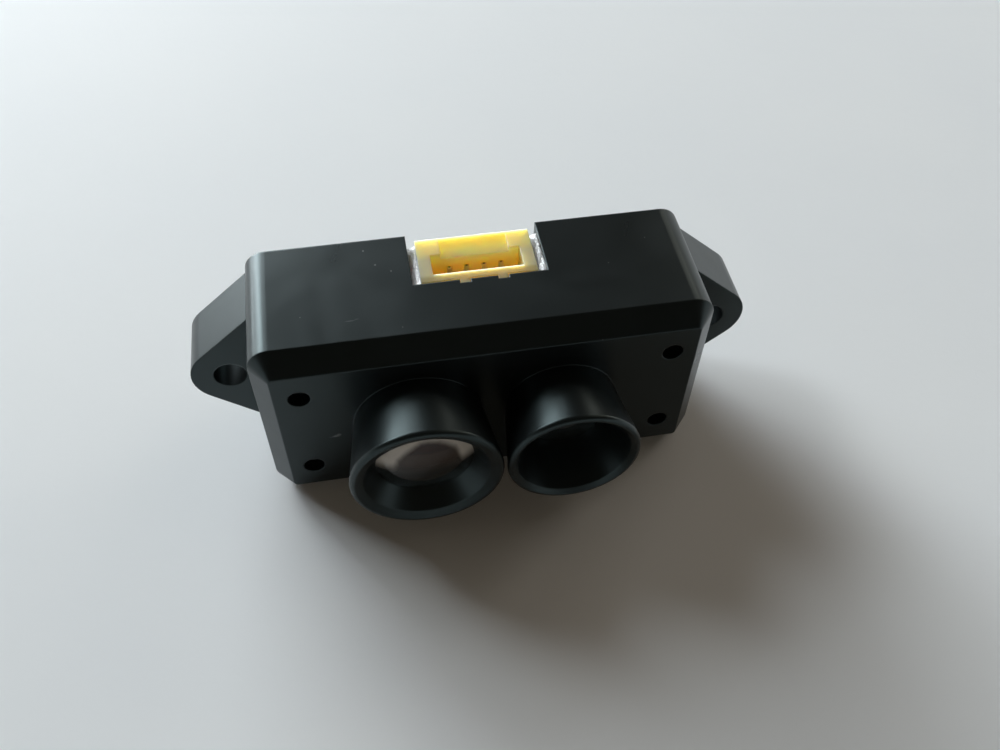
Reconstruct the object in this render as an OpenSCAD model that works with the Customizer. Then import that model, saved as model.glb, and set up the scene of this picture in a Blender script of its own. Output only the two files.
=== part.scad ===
// Single-point laser distance sensor with two light tubes and a board header.
// The sensor stands on its long narrow side, with the tubes facing -Y.
// The origin is the centre of the whole sensor's outline, on the surface it stands on.

/* [Body] */
// Width of the body, without its fixing ears
body_w = 32; // [31:0.5:36]
// Height of the body
body_h = 15; // [14.5:0.5:17]
// Depth of the body, from its front face to its back
body_d = 10.8; // [10.8:0.1:13]
// Radius of the body's four long edges
corner_r = 1.6; // [1.5:0.1:2]
// How far the bevel round the front face runs back
bevel_d = 1.5; // [1:0.1:1.6]
// How far that bevel steps in from the sides
bevel_in = 1.3; // [0.8:0.1:1.4]
// Wall of the body at its sides, top and bottom
wall = 1.3; // [1:0.1:1.4]
// Thickness of the front wall, and of the rear cover's step
front_wall = 1.5; // [1.2:0.1:1.8]

/* [Fixing ears] */
// Distance between the centres of the two fixing holes
ear_pitch = 36.4; // [36.2:0.2:42]
// Radius of an ear's round tip
ear_tip_r = 2.8; // [2.4:0.1:3]
// Thickness of an ear, flush with the back of the body
ear_t = 4.6; // [2:0.1:5]
// Angle between an ear's slanted edges and the body's width
ear_slope = 41.5; // [35:0.5:45]
// Diameter of a fixing hole
ear_hole_d = 2.4; // [2:0.1:3.2]

/* [Light tubes] */
// How far the tubes stand out of the front face
tube_l = 5.2; // [4.6:0.1:6]
// Distance between the two tubes' axes
tube_pitch = 10.2; // [10.2:0.1:12]
// Outer radius of the receiver tube at its open end
receiver_lip_r = 5.3; // [5:0.05:5.3]
// Outer radius of the receiver tube at the front face
receiver_root_r = 4.6; // [4.4:0.05:5]
// Outer radius of the emitter tube at its open end
emitter_lip_r = 4.7; // [4.4:0.05:4.7]
// Outer radius of the emitter tube at the front face
emitter_root_r = 4; // [3.7:0.05:4.4]
// Width of the sloped ring at the receiver tube's open end
receiver_ring_w = 0.95; // [0.7:0.05:1.1]
// Width of the sloped ring at the emitter tube's open end
emitter_ring_w = 0.7; // [0.6:0.05:0.9]
// How far both rings slope inwards
ring_d = 0.3; // [0.1:0.05:0.4]

/* [Lenses] */
// Radius of the receiver lens
receiver_lens_r = 3.4; // [3:0.05:3.4]
// Depth of the receiver lens's edge behind the open end
receiver_lens_deep = 1.7; // [1.5:0.1:2]
// Height of the receiver lens's dome
receiver_dome = 1.05; // [0.6:0.05:1.2]
// Radius of the emitter lens
emitter_lens_r = 2.75; // [2.4:0.05:2.8]
// Depth of the emitter lens's edge behind the open end
emitter_lens_deep = 3.6; // [3:0.1:3.8]
// Height of the emitter lens's dome
emitter_dome_h = 0.8; // [0.5:0.05:1]
// Thickness of each lens at its edge
lens_edge_t = 1; // [0.8:0.1:1.2]

/* [Front holes] */
// Distance between the hole centres across the width
pin_pitch_x = 25.9; // [25.5:0.1:26]
// Distance between the hole centres up the height
pin_pitch_z = 7.9; // [7:0.1:8]
// Diameter of the holes
pin_hole_d = 1.5; // [1.3:0.1:1.7]
// Outer radius of the sleeve behind each hole
sleeve_r = 1.9; // [1.9:0.1:2.1]

/* [Connector] */
// How far the connector sits to the right of the middle
header_x = 0.3; // [0:0.1:0.6]
// Width of the notch in the top wall
notch_w = 9.5; // [9:0.1:10]
// Depth of the notch, measured from the back
notch_d = 4.9; // [4.8:0.1:5]
// Width of the header
header_w = 8.25; // [8:0.05:8.4]
// Height of the header above its board
header_t = 4.2; // [4.05:0.05:4.2]
// Length of the header, along the way the plug goes in
header_l = 6; // [5.5:0.1:6.2]
// Number of contacts
contacts = 4; // [4:1:4]
// Distance between neighbouring contacts
contact_pitch = 1.25; // [1.2:0.05:1.3]
// Side of a contact's square section
contact_t = 0.34; // [0.3:0.02:0.4]

/* [Circuit board] */
// Thickness of the board
board_t = 1; // [0.8:0.1:1]
// Distance from the front face to the board's front
board_y = 5.1; // [5.1:0.1:5.2]
// Gap between the board's edge and the body's walls
board_gap = 0.25; // [0.2:0.05:0.4]

/* [Hidden] */
$fn = 96;

mid_z = body_h / 2;
face_y = tube_l - (tube_l + body_d) / 2;
past = 1;

// Inside the body
cavity_w = body_w - 2 * wall;
cavity_h = body_h - 2 * wall;
cavity_r = 0.6;

// Rear cover, let into a step in the walls
cover_t = 1.2;
cover_step = 0.5;
cover_gap = 0.05;
cover_y = body_d - cover_t;
cover_notch_floor = body_h - header_l - 0.5;

// Places on the board, measured from the front face, the middle and the base
board_back = board_y + board_t;
board_w = cavity_w - 2 * board_gap;
board_h = cavity_h - 2 * board_gap;
header_top = body_h - 0.1;
header_base = header_top - header_l;
contact_y = 2.3;
contact_tip = header_top - 1.1;
notch_y = body_d - notch_d;

// Two small ribs at the header's mouth, in recesses in the notch's front edge
nub_x = [-1.1, 1.6];
nub_w = 0.65;
nub_d = 0.3;
nub_h = 0.7;
nub_gap = 0.05;

// Light tubes
receiver_x = -tube_pitch / 2;
emitter_x = tube_pitch / 2;
rim_r = 0.35;
seat_w = 0.35;
sensor_w = 3.8;
sensor_t = 1;
filter_t = 0.5;
emitter_w = 3;
emitter_t = 0.7;
emitter_dome_r = 1.1;

black = [0.10, 0.11, 0.12];
board_green = [0.05, 0.28, 0.16];
cream = [0.93, 0.86, 0.52];
gold = [0.80, 0.62, 0.28];
tin = [0.78, 0.78, 0.76];
dark_epoxy = [0.13, 0.13, 0.14];
ceramic = [0.80, 0.76, 0.68];

// Moves what is measured from the front face to its place about the origin
module behind_face() {
    translate([0, face_y, 0]) children();
}

// Extrudes an outline drawn in width and height from one depth to another
module slab(y0, y1) {
    translate([0, y1, 0]) rotate([90, 0, 0]) linear_extrude(y1 - y0) children();
}

// Round bar or cone along the depth
module rod(x, z, y0, y1, r0, r1) {
    translate([x, y0, z]) rotate([-90, 0, 0]) cylinder(h = y1 - y0, r1 = r0, r2 = r1);
}

// Solid of revolution about an axis along the depth, from points of radius and depth
module turned(x, profile) {
    translate([x, 0, mid_z]) rotate([-90, 0, 0]) rotate_extrude() polygon(profile);
}

module rounded_outline(w, h, r) {
    translate([0, mid_z]) {
        square([w - 2 * r, h], center = true);
        square([w, h - 2 * r], center = true);
        for (sx = [-1, 1], sz = [-1, 1]) {
            translate([sx * (w / 2 - r), sz * (h / 2 - r)]) circle(r);
        }
    }
}

// Front layer of the body, with its bevel: two wedge-sided slabs and four cones
module bevelled_front() {
    half_w = body_w / 2;
    half_h = body_h / 2;
    run_x = half_w - corner_r;
    run_z = half_h - corner_r;
    translate([-run_x, 0, mid_z]) rotate([90, 0, 90]) linear_extrude(2 * run_x)
        polygon([[0, bevel_in - half_h], [bevel_d, -half_h], [bevel_d, half_h], [0, half_h - bevel_in]]);
    translate([0, 0, mid_z - run_z]) linear_extrude(2 * run_z)
        polygon([[bevel_in - half_w, 0], [-half_w, bevel_d], [half_w, bevel_d], [half_w - bevel_in, 0]]);
    for (sx = [-1, 1], sz = [-1, 1]) {
        rod(sx * run_x, mid_z + sz * run_z, 0, bevel_d, corner_r - bevel_in, corner_r);
    }
}

// One ear, reaching into the side wall: slanted edges that touch the round tip
module ear_outline() {
    tip_x = ear_pitch / 2;
    root_x = body_w / 2 - wall / 2;
    touch = [ear_tip_r * sin(ear_slope), ear_tip_r * cos(ear_slope)];
    rise = (tip_x + touch[0] - root_x) * tan(ear_slope);
    translate([0, mid_z]) {
        translate([tip_x, 0]) circle(ear_tip_r);
        polygon([[root_x, touch[1] + rise], [tip_x + touch[0], touch[1]],
                 [tip_x + touch[0], -touch[1]], [root_x, -touch[1] - rise]]);
    }
}

module both_sides() {
    children();
    mirror([1, 0, 0]) children();
}

// Outside of a light tube: a cone that widens to a rounded rim
module tube_outside(x, root_r, lip_r) {
    translate([x, 0, mid_z]) rotate([-90, 0, 0]) rotate_extrude() {
        polygon([[0, front_wall], [root_r, front_wall], [root_r, 0], [lip_r, rim_r - tube_l],
                 [lip_r - rim_r, -tube_l], [0, -tube_l]]);
        translate([lip_r - rim_r, rim_r - tube_l]) circle(rim_r);
    }
}

// Inside of a light tube: sloped ring, funnel to the lens, lens seat, and the way through to the chamber
module tube_inside(x, lip_r, ring_w, lens_r, lens_deep) {
    ring_r = lip_r - rim_r;
    mouth_r = lip_r - ring_w;
    lens_y = lens_deep - tube_l;
    seat_y = lens_y + lens_edge_t;
    through_r = lens_r - seat_w;
    turned(x, [[0, -tube_l - past], [ring_r, -tube_l - past], [ring_r, -tube_l], [mouth_r, ring_d - tube_l],
               [lens_r, lens_y], [lens_r, seat_y], [through_r, seat_y],
               [through_r, front_wall + past], [0, front_wall + past]]);
}

// Places something at each of the four holes behind the corners of the front face
module at_pins() {
    for (sx = [-1, 1], sz = [-1, 1]) {
        translate([sx * pin_pitch_x / 2, 0, mid_z + sz * pin_pitch_z / 2]) children();
    }
}

module notch_cut(floor_z, y0) {
    translate([header_x - notch_w / 2, y0, floor_z])
        cube([notch_w, body_d + past - y0, body_h + past - floor_z]);
}

// Moulded body: bevelled shell, ears, tubes, sleeves, the step for the cover and the notch
module housing() {
    ear_hole_r = ear_hole_d / 2;
    color(black) behind_face() difference() {
        union() {
            difference() {
                union() {
                    bevelled_front();
                    slab(bevel_d, body_d) rounded_outline(body_w, body_h, corner_r);
                    slab(body_d - ear_t, body_d) both_sides() ear_outline();
                }
                slab(front_wall, body_d + past) rounded_outline(cavity_w, cavity_h, cavity_r);
                slab(cover_y, body_d + past)
                    rounded_outline(cavity_w + 2 * cover_step, cavity_h + 2 * cover_step,
                                    cavity_r + cover_step);
                notch_cut(mid_z, notch_y);
            }
            tube_outside(receiver_x, receiver_root_r, receiver_lip_r);
            tube_outside(emitter_x, emitter_root_r, emitter_lip_r);
            at_pins() rod(0, 0, front_wall / 2, board_y, sleeve_r, sleeve_r);
        }
        tube_inside(receiver_x, receiver_lip_r, receiver_ring_w, receiver_lens_r, receiver_lens_deep);
        tube_inside(emitter_x, emitter_lip_r, emitter_ring_w, emitter_lens_r, emitter_lens_deep);
        at_pins() rod(0, 0, -past, board_y + past, pin_hole_d / 2, pin_hole_d / 2);
        for (sx = [-1, 1]) {
            rod(sx * ear_pitch / 2, mid_z, body_d - ear_t - past, body_d + past, ear_hole_r, ear_hole_r);
        }
        for (x = nub_x) {
            translate([header_x + x - nub_w / 2 - nub_gap, notch_y - nub_d, mid_z])
                cube([nub_w + 2 * nub_gap, nub_d + past, body_h]);
        }
    }
}

// Flat cover with four stepped pins that pass through the board into the sleeves
module rear_cover() {
    inset = 2 * (cover_step - cover_gap);
    pin_end = 1;
    shoulder_r = 1.5;
    overlap = 0.1;
    color(black) behind_face() {
        difference() {
            slab(cover_y, body_d)
                rounded_outline(cavity_w + inset, cavity_h + inset, cavity_r + inset / 2);
            notch_cut(cover_notch_floor, cover_y - past);
        }
        at_pins() {
            rod(0, 0, board_back, cover_y + cover_t / 2, shoulder_r, shoulder_r);
            rod(0, 0, pin_end, board_back + overlap, pin_hole_d / 2, pin_hole_d / 2);
        }
    }
}

module circuit_board() {
    hole_r = pin_hole_d / 2 + 0.1;
    color(board_green) behind_face() difference() {
        slab(board_y, board_back) rounded_outline(board_w, board_h, cavity_r);
        at_pins() rod(0, 0, board_y - past, board_back + past, hole_r, hole_r);
    }
}

// Moulded block that keeps the emitter's light away from the receiver
module light_baffle() {
    block_w = 21.4;
    block_h = 11;
    chamber_front = 0.3;
    half_diagonal = 0.73;
    color(dark_epoxy) behind_face() difference() {
        slab(front_wall, board_y) rounded_outline(block_w, block_h, 1);
        rod(receiver_x, mid_z, front_wall - past, board_y + past,
            receiver_lens_r - chamber_front, sensor_w * half_diagonal);
        rod(emitter_x, mid_z, front_wall - past, board_y + past,
            emitter_lens_r - chamber_front, emitter_w * half_diagonal);
    }
}

// Sphere radius of a cap with the given base radius and height
function cap_radius(base_r, height) = (pow(base_r, 2) + pow(height, 2)) / (2 * height);

// Lens that is domed to the front and flat at the back, where it rests on its seat
module lens(x, r, edge_y, dome) {
    dome_r = cap_radius(r, dome);
    intersection() {
        translate([x, edge_y - dome + dome_r, mid_z]) sphere(dome_r);
        rod(x, mid_z, edge_y - dome - past, edge_y + lens_edge_t, r, r);
    }
}

module receiver_lens() {
    color([0.78, 0.70, 0.66, 0.6]) behind_face()
        lens(receiver_x, receiver_lens_r, receiver_lens_deep - tube_l, receiver_dome);
}

module emitter_lens() {
    color([0.30, 0.34, 0.40, 0.6]) behind_face()
        lens(emitter_x, emitter_lens_r, emitter_lens_deep - tube_l, emitter_dome_h);
}

// Rectangular piece on the board: centre, size across and up, and its span in depth
module chip(x, z, w, h, y0, y1) {
    translate([x - w / 2, y0, z - h / 2]) cube([w, y1 - y0, h]);
}

module receiver_sensor() {
    color(dark_epoxy) behind_face() chip(receiver_x, mid_z, sensor_w, sensor_w, board_y - sensor_t, board_y);
}

module receiver_filter() {
    glass_w = sensor_w - 0.4;
    filter_y = board_y - sensor_t;
    color([0.35, 0.10, 0.12, 0.8]) behind_face()
        chip(receiver_x, mid_z, glass_w, glass_w, filter_y - filter_t, filter_y);
}

module emitter_package() {
    color(ceramic) behind_face() chip(emitter_x, mid_z, emitter_w, emitter_w, board_y - emitter_t, board_y);
}

module emitter_dome() {
    base_y = board_y - emitter_t;
    color([0.85, 0.87, 0.88, 0.6]) behind_face() intersection() {
        translate([emitter_x, base_y, mid_z]) sphere(emitter_dome_r);
        chip(emitter_x, mid_z, emitter_w, emitter_w, base_y - emitter_dome_r - past, base_y);
    }
}

// Header: one cavity, a ramp down its rear wall between two corner blocks, and its contacts' slots
module header_shell() {
    inner_w = header_w - 1.8;
    front_rim = 0.65;
    cavity_back = 2.6;
    floor_t = 1;
    ramp_w = 4.9;
    ramp_drop = 0.45;
    ramp_land = 0.15;
    ramp_gap = 0.1;
    color(cream) behind_face() translate([header_x, board_back, header_base]) difference() {
        union() {
            translate([-header_w / 2, 0, 0]) cube([header_w, header_t, header_l]);
            for (x = nub_x) {
                translate([x - nub_w / 2, notch_y - nub_d - board_back, header_l - nub_h])
                    cube([nub_w, nub_d + front_rim, nub_h]);
            }
        }
        translate([-inner_w / 2, front_rim, floor_t]) cube([inner_w, cavity_back - front_rim, header_l]);
        translate([-ramp_w / 2, 0, 0]) rotate([90, 0, 90]) linear_extrude(ramp_w)
            polygon([[cavity_back - ramp_gap, header_l - ramp_drop], [cavity_back, header_l - ramp_drop],
                     [header_t - ramp_land, header_l], [header_t - ramp_land, header_l + past],
                     [cavity_back - ramp_gap, header_l + past]]);
        for (i = [0:contacts - 1]) {
            translate([contact_x(i) - contact_t / 2, contact_y - contact_t / 2, -past])
                cube([contact_t, contact_t, header_l + 2 * past]);
        }
    }
}

function contact_x(i) = (i - (contacts - 1) / 2) * contact_pitch;

// Bent contact: tapered tip, straight through the floor, down to the board and a foot along it
module header_contact(i) {
    tip_t = contact_t / 2;
    tip_l = 0.5;
    drop = 0.5;
    foot_l = 0.9;
    y0 = contact_y - contact_t / 2;
    y1 = contact_y + contact_t / 2;
    tip = contact_tip - header_base;
    color(gold) behind_face() translate([header_x + contact_x(i) - contact_t / 2, board_back, header_base])
        rotate([90, 0, 90]) linear_extrude(contact_t)
            polygon([[y0, -drop + contact_t], [y0, tip - tip_l], [contact_y - tip_t / 2, tip],
                     [contact_y + tip_t / 2, tip], [y1, tip - tip_l], [y1, -drop], [contact_t, -drop],
                     [contact_t, -drop - foot_l], [0, -drop - foot_l], [0, -drop + contact_t]]);
}

// Soldered bracket at the header's side: an upright leg and a foot on the board
module header_tab(side) {
    sheet = 0.2;
    tab_l = 2.6;
    foot_w = 1.1;
    leg_h = 1.9;
    tab_z = 1.2;
    color(tin) behind_face() translate([header_x, board_back, header_base + tab_z])
        mirror([side < 0 ? 1 : 0, 0, 0]) translate([header_w / 2, 0, 0]) {
            cube([sheet, leg_h, tab_l]);
            cube([foot_w, sheet, tab_l]);
        }
}

// Clear glue in the gaps between the header's sides and the notch
module connector_glue() {
    glue_l = 4.2;
    glue_h = 1.2;
    glue_low = 0.25;
    gap_w = (notch_w - header_w) / 2;
    color([0.86, 0.88, 0.88]) behind_face() translate([header_x, notch_y, body_h - glue_low - glue_h])
        both_sides() translate([header_w / 2, 0, 0]) cube([gap_w, glue_l, glue_h]);
}

// Row of flat leads along a chip's two long sides
module leads(x, z, chip_h, count, pitch, reach) {
    lead_w = pitch * 0.5;
    lead_t = 0.2;
    for (i = [0:count - 1], s = [-1, 1]) {
        chip(x + (i - (count - 1) / 2) * pitch, z + s * (chip_h + reach) / 2, lead_w, reach,
             board_back, board_back + lead_t);
    }
}

// Square chip with leads on all four sides and a dimple that marks its first one
module processor_chip() {
    x = -8;
    z = 5.6;
    size = 5;
    chip_t = 0.9;
    count = 8;
    pitch = 0.5;
    reach = 0.5;
    dimple_r = 0.3;
    dimple_d = 0.1;
    dimple_at = size * 0.35;
    color(dark_epoxy) behind_face() {
        difference() {
            chip(x, z, size, size, board_back, board_back + chip_t);
            rod(x - dimple_at, z + dimple_at, board_back + chip_t - dimple_d, board_back + chip_t + past,
                dimple_r, dimple_r);
        }
        leads(x, z, size, count, pitch, reach);
        translate([x, 0, z]) rotate([0, 90, 0]) leads(0, 0, size, count, pitch, reach);
    }
}

// Flat chip with two rows of leads, at x and z
module leaded_chip(x, z, w, h, t, count, pitch, reach) {
    color(dark_epoxy) behind_face() {
        chip(x, z, w, h, board_back, board_back + t);
        leads(x, z, h, count, pitch, reach);
    }
}

module driver_chip() {
    leaded_chip(x = 3.4, z = 4, w = 3, h = 2.4, t = 0.8, count = 4, pitch = 0.65, reach = 0.5);
}

module voltage_regulator() {
    leaded_chip(x = 7.8, z = 11.4, w = 2.9, h = 1.6, t = 1.1, count = 3, pitch = 0.95, reach = 0.6);
}

// Shielded inductor: a square block with a round bite in two of its sides
module power_inductor() {
    x = 8.4;
    z = 7.5;
    size = 4;
    block_t = 1.8;
    bite_r = 1;
    bite_at = 2.6;
    flange_t = 0.4;
    color([0.22, 0.22, 0.23]) behind_face() difference() {
        chip(x, z, size, size, board_back, board_back + block_t);
        for (s = [-1, 1]) {
            rod(x + s * bite_at, z, board_back + flange_t, board_back + block_t - flange_t, bite_r, bite_r);
        }
    }
}

module clock_crystal() {
    can_w = 3.2;
    can_h = 2.5;
    can_t = 0.7;
    color(tin) behind_face() chip(-7.8, 11.3, can_w, can_h, board_back, board_back + can_t);
}

// Two moulded capacitors, one above the other
module supply_capacitors() {
    x = 8.6;
    case_w = 3.2;
    case_h = 1.4;
    color([0.75, 0.62, 0.30]) behind_face() for (z = [2.5, 4.2]) {
        chip(x, z, case_w, case_h, board_back, board_back + case_h);
    }
}

// Grid of small two-ended parts: how many rows, the lowest row's height and their thickness
module small_parts(rows, z, t) {
    x = -3.6;
    pitch_x = 1.5;
    pitch_z = 1.4;
    part_w = 1;
    part_h = 0.5;
    for (i = [0:2], j = [0:rows - 1]) {
        chip(x + i * pitch_x, z + j * pitch_z, part_w, part_h, board_back, board_back + t);
    }
}

module small_capacitors() {
    color([0.55, 0.42, 0.30]) behind_face() small_parts(rows = 2, z = 2.6, t = 0.5);
}

module small_resistors() {
    color([0.16, 0.16, 0.17]) behind_face() small_parts(rows = 1, z = 5.6, t = 0.35);
}

housing();
rear_cover();
circuit_board();
light_baffle();
receiver_lens();
emitter_lens();
receiver_filter();
receiver_sensor();
emitter_package();
emitter_dome();
header_shell();
header_contact(0);  // header_pin_1
header_contact(1);  // header_pin_2
header_contact(2);  // header_pin_3
header_contact(3);  // header_pin_4
header_tab(-1);  // header_tab_left
header_tab(1);  // header_tab_right
connector_glue();
processor_chip();
driver_chip();
voltage_regulator();
power_inductor();
clock_crystal();
supply_capacitors();
small_capacitors();
small_resistors();
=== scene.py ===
"""Looks of a small laser distance sensor: a black moulded housing with two light tubes and a cream header."""
import math

import bmesh
import bpy
from mathutils import Matrix, Vector, noise


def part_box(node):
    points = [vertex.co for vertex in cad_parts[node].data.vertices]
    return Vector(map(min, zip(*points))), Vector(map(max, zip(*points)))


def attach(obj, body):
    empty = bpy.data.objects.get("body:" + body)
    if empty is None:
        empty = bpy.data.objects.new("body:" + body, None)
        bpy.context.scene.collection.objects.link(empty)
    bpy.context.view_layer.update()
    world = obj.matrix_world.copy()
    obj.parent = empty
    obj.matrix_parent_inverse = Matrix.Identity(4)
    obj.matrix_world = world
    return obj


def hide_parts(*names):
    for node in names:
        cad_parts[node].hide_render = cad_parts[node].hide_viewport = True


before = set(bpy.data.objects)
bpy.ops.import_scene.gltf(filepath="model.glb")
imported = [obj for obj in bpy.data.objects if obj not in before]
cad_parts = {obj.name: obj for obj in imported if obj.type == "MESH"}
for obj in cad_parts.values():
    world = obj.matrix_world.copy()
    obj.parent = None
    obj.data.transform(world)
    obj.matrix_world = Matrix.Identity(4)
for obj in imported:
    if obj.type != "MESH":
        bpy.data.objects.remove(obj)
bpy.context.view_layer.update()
scene = bpy.context.scene

# Metres in one millimetre
MM = 0.001
# Setting of a Map Range node that makes it rise smoothly from 0 to 1
SMOOTH = {"interpolation_type": "SMOOTHSTEP"}

# Camera as fitted to the photograph's edges: place in mm, angles in degrees, focal length and width in pixels
CAMERA_SPOT = (-7.399, -43.794, 63.446)
CAMERA_DOWN, CAMERA_TURN, CAMERA_TILT = 51.266, 11.134, -1.497
FOCAL_PX = 974.458
PHOTO_W = 1000
SENSOR_MM = 36
CLIP_NEAR, CLIP_FAR = 1 * MM, 20

# Every lamp is this far, in metres, from the point inside the sensor that it looks at
LAMP_DISTANCE = 0.85
LAMP_AIM = Vector((0, 0, 7)) * MM
# Panes of the windows behind the sensor: turn and rise in degrees, height in metres, power in watts
PANE_W = 0.24
WINDOW_PANES = [(-44, 38, 0.19, 1.3), (-44, 28, 0.32, 1.25), (-44, 6, 0.085, 0.8),
                (-28, 28, 0.32, 1.25), (-28, 14, 0.15, 4.2), (-28, 6, 0.085, 1.9),
                (-12, 28, 0.32, 1.0), (-12, 14, 0.15, 3.3)]
WINDOW_TINT = "#f4fbff"
# Weaker light of the room: name, turn and rise in degrees, size in metres, power in watts, colour
ROOM_LAMPS = [("side_window", 40, 32, (0.24, 0.24), 0.3, "#fff6ea"),
              ("low_side_window", 62, 20, (0.18, 0.24), 0.5, "#fff6ea"),
              ("far_lamp", 75, 50, (0.36, 0.36), 0.25, "#fff0dd")]
DIM_WALL = ("room_wall", 180, 30, (0.5, 0.5), 0.25, "#ffe5c5")
ROOM_TINT, ROOM_STRENGTH = "#e6d4bc", 0.07

# Far walls: their colour, and the upward part of a line of sight at which they fade in and are full
PALE_WALL = "#dde0e1"
WALL_FROM, WALL_FULL = 0.4, 0.2
# Table: half its side, and how far from the sensor it starts to fade into the walls and is gone, in metres
TABLE_HALF = 3.0
TABLE_FROM, TABLE_GONE = 0.1, 0.26


def srgb(code):
    """Linear colour of an sRGB hex value."""
    parts = [int(code[i:i + 2], 16) / 255 for i in (1, 3, 5)]
    return tuple(c / 12.92 if c <= 0.04045 else ((c + 0.055) / 1.055) ** 2.4 for c in parts) + (1,)


def per_mm(size):
    """Texture scale at which one feature is about size millimetres across."""
    return 1 / (size * MM)


def box_mm(node):
    """Lowest and highest corner of a node of the frame, in mm."""
    return [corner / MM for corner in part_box(node)]


def add_node(tree, kind, settings):
    """Adds a node. A setting is one of its attributes, or an input that takes a value or another's output."""
    node = tree.nodes.new(kind)
    attributes = [key for key in settings if isinstance(key, str) and hasattr(node, key)]
    for key in attributes:
        setattr(node, key, settings[key])
    for key, value in settings.items():
        if key in attributes:
            continue
        if isinstance(value, bpy.types.NodeSocket):
            tree.links.new(value, node.inputs[key])
        else:
            node.inputs[key].default_value = value
    return node


def new_finish(name, settings):
    """Material with one Principled shader, and the output that gives Object coordinates."""
    material = bpy.data.materials.new(name)
    material.use_nodes = True
    tree = material.node_tree
    tree.nodes.clear()
    shader = add_node(tree, "ShaderNodeBsdfPrincipled", settings)
    add_node(tree, "ShaderNodeOutputMaterial", {"Surface": shader.outputs[0]})
    place = add_node(tree, "ShaderNodeTexCoord", {}).outputs["Object"]
    return material, tree, shader, place


def only_seen(tree, mask):
    """Keeps a mask for what the camera sees, straight or in gloss and glass, and drops it for other light."""
    ray = add_node(tree, "ShaderNodeLightPath", {}).outputs
    seen = add_node(tree, "ShaderNodeMath", {"operation": "MAXIMUM", 0: ray["Is Camera Ray"],
                                             1: ray["Is Glossy Ray"]}).outputs[0]
    seen = add_node(tree, "ShaderNodeMath", {"operation": "MAXIMUM", 0: seen,
                                             1: ray["Is Transmission Ray"]}).outputs[0]
    return add_node(tree, "ShaderNodeMath", {"operation": "MULTIPLY", 0: seen, 1: mask}).outputs[0]


# Camera, light and table

def set_camera():
    """Puts the camera where the photograph was taken from."""
    down, turn, tilt = [math.radians(angle) for angle in (CAMERA_DOWN, CAMERA_TURN, CAMERA_TILT)]
    ahead = Vector((math.sin(turn) * math.cos(down), math.cos(turn) * math.cos(down), -math.sin(down)))
    level = Vector((math.cos(turn), -math.sin(turn), 0))
    below = ahead.cross(level)
    right = level * math.cos(tilt) + below * math.sin(tilt)
    low = below * math.cos(tilt) - level * math.sin(tilt)
    turned = Matrix((right, -low, -ahead)).transposed().to_4x4()
    data = bpy.data.cameras.new("camera")
    data.sensor_width = SENSOR_MM
    data.lens = FOCAL_PX / PHOTO_W * SENSOR_MM
    data.clip_start, data.clip_end = CLIP_NEAR, CLIP_FAR
    camera = bpy.data.objects.new("camera", data)
    camera.matrix_world = Matrix.Translation(Vector(CAMERA_SPOT) * MM) @ turned
    scene.collection.objects.link(camera)
    scene.camera = camera


def add_lamp(name, turn, rise, size, power, colour):
    """Soft area lamp that looks at the sensor, at a turn from +Y towards +X and a rise above the table."""
    turn, rise = math.radians(turn), math.radians(rise)
    lamp = bpy.data.lights.new(name, "AREA")
    lamp.shape = "RECTANGLE"
    lamp.size, lamp.size_y = size
    lamp.energy = power
    lamp.color = srgb(colour)[:3]
    away = Vector((math.sin(turn) * math.cos(rise), math.cos(turn) * math.cos(rise), math.sin(rise)))
    item = bpy.data.objects.new(name, lamp)
    item.location = LAMP_AIM + away * LAMP_DISTANCE
    item.rotation_euler = away.to_track_quat("Z", "Y").to_euler()
    scene.collection.objects.link(item)
    return item


def set_light():
    """Daylight from wide windows behind the sensor, weak light of the rest of the room, pale far walls."""
    scene.view_settings.view_transform = "Standard"
    world = bpy.data.worlds.new("room")
    world.use_nodes = True
    tree = world.node_tree
    tree.nodes.clear()
    room = add_node(tree, "ShaderNodeBackground", {"Color": srgb(ROOM_TINT), "Strength": ROOM_STRENGTH})
    pale = add_node(tree, "ShaderNodeBackground", {"Color": srgb(PALE_WALL), "Strength": 1.0})
    way = add_node(tree, "ShaderNodeTexCoord", {}).outputs["Generated"]
    rise = add_node(tree, "ShaderNodeSeparateXYZ", {0: way}).outputs["Z"]
    wall = add_node(tree, "ShaderNodeMapRange", {**SMOOTH, "Value": rise, "From Min": WALL_FROM,
                                                 "From Max": WALL_FULL}).outputs[0]
    mix = add_node(tree, "ShaderNodeMixShader", {0: only_seen(tree, wall), 1: room.outputs[0],
                                                 2: pale.outputs[0]})
    add_node(tree, "ShaderNodeOutputWorld", {"Surface": mix.outputs[0]})
    scene.world = world
    for number, (turn, rise, height, power) in enumerate(WINDOW_PANES):
        add_lamp(f"window_pane_{number}", turn, rise, (PANE_W, height), power, WINDOW_TINT)
    for lamp in ROOM_LAMPS:
        add_lamp(*lamp)
    # The dim wall in front lights the sensor but draws no bar on its glossy tubes
    add_lamp(*DIM_WALL).visible_glossy = False


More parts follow.
